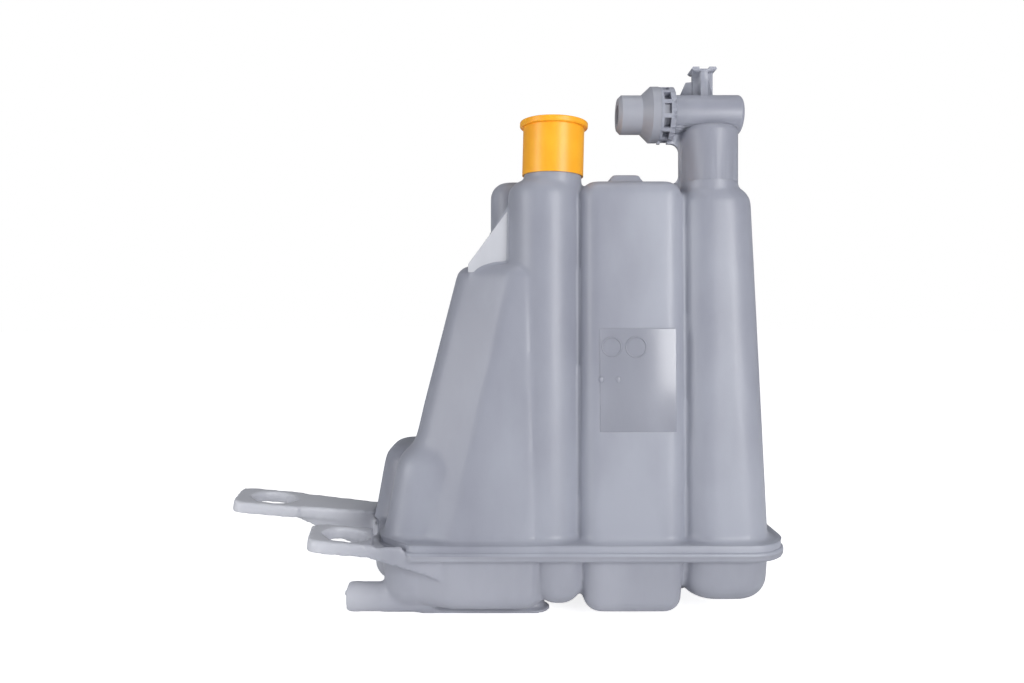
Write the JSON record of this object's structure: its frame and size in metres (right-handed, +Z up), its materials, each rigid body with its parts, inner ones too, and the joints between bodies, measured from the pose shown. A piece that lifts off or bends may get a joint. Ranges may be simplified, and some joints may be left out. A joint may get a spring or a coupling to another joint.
{
  "type": "coolant expansion tank",
  "caption": "Translucent moulded coolant tank with lobed cells, weld flange, filler neck with push-on cap, elbow with snap-in nozzle, bracket ears and lower outlet spigot.",
  "frame": {"origin": "bottom centre of the bounding box, standing on its base", "axes": "+Z up along the filler neck, +X to the elbow side, -Y to the front with the label panel"},
  "size_m": [0.3784, 0.128, 0.358],
  "materials": {
    "upper_shell": "satin translucent polypropylene",
    "lower_shell": "satin translucent polypropylene",
    "return_nozzle": "satin moulded plastic",
    "nozzle_seal": "smooth rubber",
    "transport_cap": "satin polyethylene"
  },
  "bodies": {
    "tank": {"upper_shell": "upper_shell", "lower_shell": "lower_shell", "return_nozzle": "return_nozzle", "nozzle_seal": "nozzle_seal"},
    "cap": {"transport_cap": "transport_cap"}
  },
  "joints": [
    {"name": "cap_pull", "type": "slide", "parent": "tank", "child": "cap", "axis": [0.0244, 0, 0.9997], "range_m": [0, 0.045]}
  ]
}
